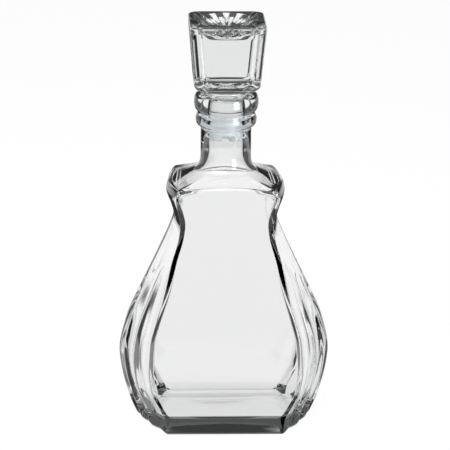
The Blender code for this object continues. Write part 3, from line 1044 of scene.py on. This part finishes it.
@dataclass
class Sleeve:
    """The sealing sleeve on the shank: a grooved barrel that grips the bore, and notches."""

    top_height: float
    bore_radius: float
    shank_radius: float
    fit_gap: float = 0.0003
    length: float = 0.0172
    edge_round: float = 0.0006
    grip: float = 0.00004
    taper: float = 0.0003
    taper_from_share: float = 2 / 3
    taper_to_share: float = 5 / 6
    groove_count: int = 3
    groove_pitch: float = 0.0046
    first_groove: float = 0.0025
    groove_depth: float = 0.00025
    groove_width: float = 0.00050
    notch_depth: float = 0.0036
    notch_count: int = 4
    notch_share: float = 0.52
    notch_slope_share: float = 0.10
    notch_turn: float = 6.0
    sharp_angle: float = 40.0
    merge_gap: float = 0.00003
    segments: int = 160
    barrel_steps: int = 60

    def round(self, radius: float, z: float) -> Ring:
        """A level circle."""
        around = turns(self.segments, 0.0, 360.0)[:-1]
        return [Vector((radius * math.sin(turn), -radius * math.cos(turn), z)) for turn in around]

    def notched(self, radius: float, end: float) -> Ring:
        """The lower edge, stepping up at each notch, with sloping sides.

        Args:
            radius: Radius of the edge.
            end: Its height between the notches.

        Returns:
            The ring.
        """
        ring = self.round(radius, end)
        for point in ring:
            turn = math.degrees(math.atan2(point.x, -point.y)) - self.notch_turn
            period = 360 / self.notch_count
            from_middle = abs((turn + period / 2) % period - period / 2) / period
            edge = (self.notch_share / 2 - from_middle) / self.notch_slope_share
            point.z += self.notch_depth * eased(edge + 0.5)
        return ring

    def build(self, material: bpy.types.Material) -> bpy.types.Object:
        """Makes the sleeve.

        Args:
            material: The plastic.

        Returns:
            The piece, which stands for the CAD sleeve.
        """
        inside = self.shank_radius + self.fit_gap
        top = self.top_height
        end = top - self.length
        outside = self.bore_radius + self.grip
        rings = [self.round(inside, top)]
        for turn in turns(SMALL_ROUND_STEPS):
            radius = outside - self.edge_round * (1 - math.sin(turn))
            rings.append(self.round(radius, top - self.edge_round * (1 - math.cos(turn))))
        low = end + self.notch_depth
        grooves = [self.first_groove + k * self.groove_pitch for k in range(self.groove_count)]
        run = self.taper_to_share - self.taper_from_share
        for z in steps(top - self.edge_round, low, self.barrel_steps):
            down = top - z
            taper = self.taper * eased((down / self.length - self.taper_from_share) / run)
            nearest = min(abs(down - groove) for groove in grooves)
            line = self.groove_depth * math.exp(-((nearest / self.groove_width) ** 2))
            rings.append(self.round(outside - taper - line, z))
        rings.append(self.notched(outside - self.taper, end))
        rings.append(self.notched((inside + outside - self.taper) / 2, end))
        rings.append(self.notched(inside, end))
        return self.tube(rings, material)

    def tube(self, rings: list[Ring], material: bpy.types.Material) -> bpy.types.Object:
        """Grows a wall through the rings and back to the first one.

        Args:
            rings: The rings, down the outside and back inside.
            material: The plastic.

        Returns:
            The sleeve.
        """
        skin = Skin(rings[0])
        bmesh.ops.delete(skin.mesh, geom=list(skin.mesh.faces), context="FACES_ONLY")
        skin.grow([*rings[1:], rings[0]])
        bmesh.ops.remove_doubles(skin.mesh, verts=skin.mesh.verts, dist=self.merge_gap)
        skin.edges = []
        return skin.finish("sealing_sleeve", material, self.sharp_angle)


@dataclass(frozen=True)
class Surroundings:
    """What glass shows of the studio: white walls in front, behind and beside, dark gaps between.

    The gaps draw the dark lines inside the glass. What a surface mirrors toward the front is dim,
    as the room behind a camera is. A ray that has crossed both walls of the bottle finds the front
    and the sky lighter, which keeps the far side of the glass pale. No real room does that.
    """

    back_half_angle: float = 59.0
    back_level: float = 0.955
    side_half_angle: float = 8.0
    edge_softness: float = 6.0
    side_level: float = 0.25
    front_level: float = 0.08
    front_level_through: float = 0.50
    front_from: float = -0.3
    gap: float = 0.03
    both_walls: float = 3.5
    first_bounce: float = 0.5
    least: float = 0.0001

    def strength(
        self, tree: bpy.types.NodeTree, place: bpy.types.NodeSocket, size: Flat = (0.0, 0.0)
    ) -> bpy.types.Node:
        """Adds the nodes that give the brightness in a direction.

        Args:
            tree: Node tree of the world or of the floor.
            place: The direction, or the place on the floor round the object.
            size: How much wider the walls are than their angles give, and how far before the
                middle the front begins. On the floor both keep clear of the object.

        Returns:
            The node with the brightness.
        """
        part = add_node(tree, "SeparateXYZ", (place,))
        across = add_node(tree, "Math", (part.outputs["X"],), operation="ABSOLUTE")
        along = add_node(tree, "Math", (part.outputs["Y"],), operation="ABSOLUTE")
        reach = add_node(tree, "VectorMath", (place,), operation="LENGTH").outputs["Value"]
        ahead = add_node(tree, "Math", (part.outputs["Y"], size[1]), operation="ADD")
        ahead = self.ratio(tree, ahead, reach)
        through = self.through(tree)
        front = add_node(tree, "Mix", {0: through, 2: self.front_level, 3: self.front_level_through})
        facing = add_node(tree, "MapRange", (ahead, self.front_from, 0.0, front, 1.0), **SOFT)
        back = self.wall(tree, across, along, size[0], self.back_half_angle, self.back_level)
        back = add_node(tree, "Math", (back, facing), operation="MULTIPLY")
        side = self.wall(tree, along, across, size[0], self.side_half_angle, self.side_level)
        walls = add_node(tree, "Math", (back, side), operation="MAXIMUM")
        return add_node(tree, "Math", (walls, self.gap), operation="MAXIMUM")

    def ratio(self, tree: bpy.types.NodeTree, value: Feed, by: Feed) -> bpy.types.Node:
        """Adds the nodes that divide a value by another, which never counts as zero."""
        by = add_node(tree, "Math", (by, self.least), operation="MAXIMUM")
        return add_node(tree, "Math", (value, by), operation="DIVIDE")

    def wall(
        self,
        tree: bpy.types.NodeTree,
        wide: bpy.types.Node,
        far: bpy.types.Node,
        width: float,
        angle: float,
        light: float,
    ) -> bpy.types.Node:
        """Adds the nodes of one white wall.

        Args:
            tree: Node tree of the world or of the floor.
            wide: How far to the wall's side a place is.
            far: How far toward the wall it is.
            width: How much wider the wall is than its angle gives.
            angle: The wall's half angle in degrees.
            light: Its brightness.

        Returns:
            The node with the wall's brightness, which fades out at its edges.
        """
        beyond = add_node(tree, "Math", (wide, width), operation="SUBTRACT")
        half = self.edge_softness / 2
        edges = [math.tan(math.radians(angle + side)) for side in (-half, half)]
        return add_node(tree, "MapRange", (self.ratio(tree, beyond, far), *edges, light, 0.0), **SOFT)

    def through(self, tree: bpy.types.NodeTree) -> bpy.types.Node:
        """Adds the nodes that say whether a ray has crossed both walls of the bottle."""
        crossed = add_node(tree, "LightPath").outputs["Transmission Depth"]
        return add_node(tree, "Math", (crossed, self.both_walls), operation="GREATER_THAN")

    def shown(self, tree: bpy.types.NodeTree) -> bpy.types.Node:
        """Adds the nodes that say whether a ray comes from the camera, a mirror or glass.

        Args:
            tree: Node tree of the world or of the floor.

        Returns:
            The node, which gives 1 for such a ray if it has met no dull surface, else 0.
        """
        ray = add_node(tree, "LightPath").outputs
        seen = add_node(tree, "Math", (ray["Is Camera Ray"], ray["Is Glossy Ray"]), operation="MAXIMUM")
        seen = add_node(tree, "Math", (seen, ray["Is Transmission Ray"]), operation="MAXIMUM")
        straight = add_node(
            tree, "Math", (ray["Diffuse Depth"], self.first_bounce), operation="LESS_THAN"
        )
        return add_node(tree, "Math", (seen, straight), operation="MULTIPLY")


@dataclass
class Studio:
    """The floor, the world and the lamps."""

    surroundings: Surroundings = Surroundings()
    object_size: Flat = (0.075, 0.060)
    # Painted contact shadow in the floor's glow, seen only in the glass: its size, reach and level.
    painted_contact_shadow_size: Flat = (0.072, 0.042)
    painted_contact_shadow_reach: Flat = (0.8, 2.4)
    painted_contact_shadow_level: float = 0.86
    # Painted shade under and close to the bottle, seen only in the glass.
    under: Flat = (1.05, 1.5)
    painted_under_shade_level: float = 0.26
    near: float = 0.75
    near_full_share: float = 0.7
    painted_near_shade_level: float = 0.06
    painted_near_shade_side_level: float = 0.90
    near_side: Flat = (0.6, 0.9)
    solid_glass: float = 2.5
    floor_radius: float = 4.0
    floor_edges: int = 64
    floor_drop: float = 0.0001
    floor_hex: str = "FAFAFA"
    floor_own_light: float = 0.80
    ambient: float = 0.80
    wall_top: Flat = (0.0, 0.12)
    sky_level: float = 0.10
    sky_level_through: float = 0.85
    overhead: Flat = (0.60, 0.85)
    strip_azimuths: tuple[float, ...] = (35.0,)
    strip_distance: float = 0.55
    strip_foot: float = 0.002
    strip_size: Flat = (0.20, 0.55)
    strip_radiance: float = 9.0
    key_place: tuple[float, float, float] = (-0.5, -0.6, 1.5)
    key_aim: tuple[float, float, float] = (0.0, 0.0, 0.1)
    key_size: Flat = (1.2, 1.2)
    key_power: float = 14.0

    def paint_shade_close_by(
        self, tree: bpy.types.NodeTree, place: bpy.types.NodeSocket, away: bpy.types.NodeSocket
    ) -> bpy.types.Node:
        """Adds the nodes that paint shade on the floor close to the bottle, seen past two surfaces at
        most.

        The camera never sees this floor by itself, but only in the glass, and no real floor does it.

        Args:
            tree: The floor's node tree.
            place: The place on the floor.
            away: How far from the bottle it is, in half widths of its base.

        Returns:
            The node with the share of the floor's light, with painted shade before, behind and under the
            bottle.
        """
        part = add_node(tree, "SeparateXYZ", (place,))
        across = add_node(tree, "Math", (part.outputs["X"],), operation="ABSOLUTE")
        along = add_node(tree, "Math", (part.outputs["Y"],), operation="ABSOLUTE")
        slope = self.surroundings.ratio(tree, across, along)
        # Painted shade close to the bottle, darkest before and behind it and lighter toward its sides.
        levels = self.painted_near_shade_level, self.painted_near_shade_side_level
        dim = add_node(tree, "MapRange", (slope, *self.near_side, *levels), **SOFT)
        reach = add_node(tree, "VectorMath", (place,), operation="LENGTH").outputs["Value"]
        ends = self.near * self.near_full_share, self.near
        dim = add_node(tree, "MapRange", (reach, *ends, dim, 1.0), **SOFT)
        # Painted shade under the bottle.
        under = add_node(tree, "MapRange", (away, *self.under, self.painted_under_shade_level, 1.0), **SOFT)
        dim = add_node(tree, "Math", (dim, under), operation="MINIMUM")
        crossed = add_node(tree, "LightPath").outputs["Transmission Depth"]
        solid = add_node(tree, "Math", (crossed, self.solid_glass), operation="LESS_THAN")
        return add_node(tree, "Mix", {0: solid, 2: 1.0, 3: dim})

    def floor_material(self) -> bpy.types.Material:
        """White paper: it reads as plain white and keeps the bottle's soft shadow. In the glass its glow
        also shows a painted contact shadow and painted shade close to and under the bottle.

        Returns:
            The material.
        """
        material, tree = new_material("white_paper_floor")
        place = add_node(tree, "TexCoord").outputs["Object"]
        light = self.surroundings.strength(tree, place, self.object_size)
        wide, deep = self.painted_contact_shadow_size
        away = add_node(tree, "VectorMath", (place, (1 / wide, 1 / deep, 0.0)), operation="MULTIPLY")
        away = add_node(tree, "VectorMath", (away,), operation="LENGTH").outputs["Value"]
        # Painted contact shadow: the floor's glow is darker round the bottle's footprint, as seen in the
        # glass.
        painted_contact_shadow = add_node(
            tree, "MapRange", (away, *self.painted_contact_shadow_reach, self.painted_contact_shadow_level, 1.0), **SOFT
        )
        light = add_node(tree, "Math", (light, painted_contact_shadow), operation="MULTIPLY")
        light = add_node(tree, "Math", (light, self.paint_shade_close_by(tree, place, away)), operation="MULTIPLY")
        camera = add_node(tree, "LightPath").outputs["Is Camera Ray"]
        light = add_node(tree, "Mix", {0: camera, 2: light, 3: 1.0})
        paper = add_node(tree, "BsdfDiffuse", {"Color": linear(self.floor_hex)})
        glow = add_node(tree, "Emission", {"Strength": light})
        share = add_node(tree, "Mix", {0: camera, 2: 1.0, 3: self.floor_own_light})
        share = add_node(tree, "Math", (share, self.surroundings.shown(tree)), operation="MULTIPLY")
        mix = add_node(tree, "MixShader", (share, paper, glow))
        add_node(tree, "OutputMaterial", {"Surface": mix})
        return material

    def floor(self) -> bpy.types.Object:
        """Lays the floor.

        Returns:
            The floor, a wide round sheet just under the bottle.
        """
        mesh = bmesh.new()
        bmesh.ops.create_circle(mesh, cap_ends=True, segments=self.floor_edges, radius=self.floor_radius)
        bmesh.ops.translate(mesh, verts=mesh.verts, vec=(0.0, 0.0, -self.floor_drop))
        data = bpy.data.meshes.new("floor")
        mesh.to_mesh(data)
        mesh.free()
        data.materials.append(self.floor_material())
        floor = bpy.data.objects.new("floor", data)
        bpy.context.scene.collection.objects.link(floor)
        return floor

    def world(self) -> None:
        """Makes the world: white for the camera, walls and gaps in the glass, light above."""
        world = bpy.data.worlds.new("studio")
        world.use_nodes = True
        tree = world.node_tree
        tree.nodes.clear()
        way = add_node(tree, "TexCoord").outputs["Generated"]
        height = add_node(tree, "SeparateXYZ", (way,)).outputs["Z"]
        light = self.surroundings.strength(tree, way)
        through = self.surroundings.through(tree)
        sky = add_node(tree, "Mix", {0: through, 2: self.sky_level, 3: self.sky_level_through})
        upper = add_node(tree, "MapRange", (height, *self.wall_top, 1.0, sky), **SOFT)
        walls = add_node(tree, "Math", (light, upper), operation="MULTIPLY")
        above = add_node(tree, "MapRange", (height, *self.overhead, 0.0, 1.0), **SOFT)
        around = add_node(tree, "Mix", {0: above, 2: walls, 3: 1.0})
        camera = add_node(tree, "LightPath").outputs["Is Camera Ray"]
        around = add_node(tree, "Mix", {0: camera, 2: around, 3: 1.0})
        shown = self.surroundings.shown(tree)
        strength = add_node(tree, "Mix", {0: shown, 2: self.ambient, 3: around})
        studio = add_node(tree, "Background", {"Color": linear("FFFFFF"), "Strength": strength})
        add_node(tree, "OutputWorld", {"Surface": studio})
        bpy.context.scene.world = world

    def lamp(self, name: str, place: Vector, aim: Vector, size: Flat, power: float) -> bpy.types.Object:
        """Hangs one soft rectangular lamp.

        Args:
            name: The lamp's name.
            place: Where it is.
            aim: The point that it faces.
            size: Its width and height.
            power: Watts.

        Returns:
            The lamp.
        """
        data = bpy.data.lights.new(name, "AREA")
        data.shape = "RECTANGLE"
        data.size, data.size_y = size
        data.energy = power
        lamp = bpy.data.objects.new(name, data)
        lamp.location = place
        lamp.rotation_euler = (aim - place).to_track_quat("-Z", "Y").to_euler()
        lamp.visible_camera = False
        lamp.visible_transmission = False
        bpy.context.scene.collection.objects.link(lamp)
        return lamp

    def lamps(self) -> None:
        """Hangs the soft lamp overhead, and the tall strips that draw a line down the neck."""
        self.lamp("overhead", Vector(self.key_place), Vector(self.key_aim), self.key_size, self.key_power)
        width, height = self.strip_size
        for azimuth in self.strip_azimuths:
            turn = math.radians(azimuth)
            place = Vector((math.sin(turn), -math.cos(turn), 0.0)) * self.strip_distance
            place.z = height / 2 + self.strip_foot
            aim = Vector((0.0, 0.0, place.z))
            power = self.strip_radiance * math.pi * width * height
            strip = self.lamp(f"strip_{azimuth:.0f}", place, aim, self.strip_size, power)
            strip.visible_diffuse = False

    def build(self) -> None:
        """Sets up the whole studio."""
        self.floor()
        self.world()
        self.lamps()


@dataclass
class PhotoCamera:
    """The camera at the photograph's place: a long lens, a little above, a little to the left."""

    distance: float = 2.4
    elevation: float = 16.2
    turn: float = 2.4
    roll: float = 0.6
    target_height: float = 0.1374
    focal_pixels: float = 3540.0
    frame_pixels: float = 450.0
    sensor_mm: float = 36.0

    def build(self) -> bpy.types.Object:
        """Places the camera and makes it the scene's own.

        Returns:
            The camera.
        """
        turn, rise, roll = (math.radians(a) for a in (self.turn, self.elevation, self.roll))
        back = Vector((-math.sin(turn) * math.cos(rise), -math.cos(turn) * math.cos(rise), math.sin(rise)))
        right = (-back).cross(Vector((0.0, 0.0, 1.0))).normalized()
        up = back.cross(right)
        across = right * math.cos(roll) + up * math.sin(roll)
        upward = up * math.cos(roll) - right * math.sin(roll)
        data = bpy.data.cameras.new("camera")
        data.sensor_width = self.sensor_mm
        data.lens = self.focal_pixels / self.frame_pixels * self.sensor_mm
        camera = bpy.data.objects.new("camera", data)
        place = Matrix((across, upward, back)).transposed().to_4x4()
        place.translation = Vector((0.0, 0.0, self.target_height)) + back * self.distance
        camera.matrix_world = place
        bpy.context.scene.collection.objects.link(camera)
        bpy.context.scene.camera = camera
        return camera


def install(piece: bpy.types.Object, node: str, body: Body) -> None:
    """Puts a finished piece in the place of its CAD node.

    Args:
        piece: The new piece.
        node: The CAD node that it stands for.
        body: The body that it moves with.
    """
    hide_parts(node)
    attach(piece, body.value)
    LOG.info("%s: %d faces", piece.name, len(piece.data.polygons))


def main() -> None:
    """Builds the camera, the studio and the three pieces."""
    logging.basicConfig(level=logging.INFO)
    bpy.context.scene.view_settings.view_transform = "Standard"
    PhotoCamera().build()
    Studio().build()
    bottle = Bottle()
    stopper = Stopper(seat_height=bottle.rim_height + Sleeve.fit_gap)
    sleeve_top = stopper.seat_height - stopper.plug_length - Sleeve.fit_gap
    sleeve = Sleeve(sleeve_top, bottle.bore_radius, stopper.shank_radius)
    blown = SodaLimeGlass("blown_soda_lime_glass", wave_mm=22.0, wave_height_mm=0.10)
    pressed = SodaLimeGlass(
        "pressed_soda_lime_glass", wave_mm=14.0, wave_height_mm=0.05, tint_hex="C4D0CB", tint_per_metre=8.0
    )
    milky = MilkyPolyethylene("moulded_milky_polyethylene")
    install(bottle.build(blown.material()), "bottle", Body.BOTTLE)
    install(stopper.build(pressed.material()), "stopper", Body.STOPPER)
    install(sleeve.build(milky.material()), "stopper_sleeve", Body.SLEEVE)


if __name__ == "__main__":
    main()
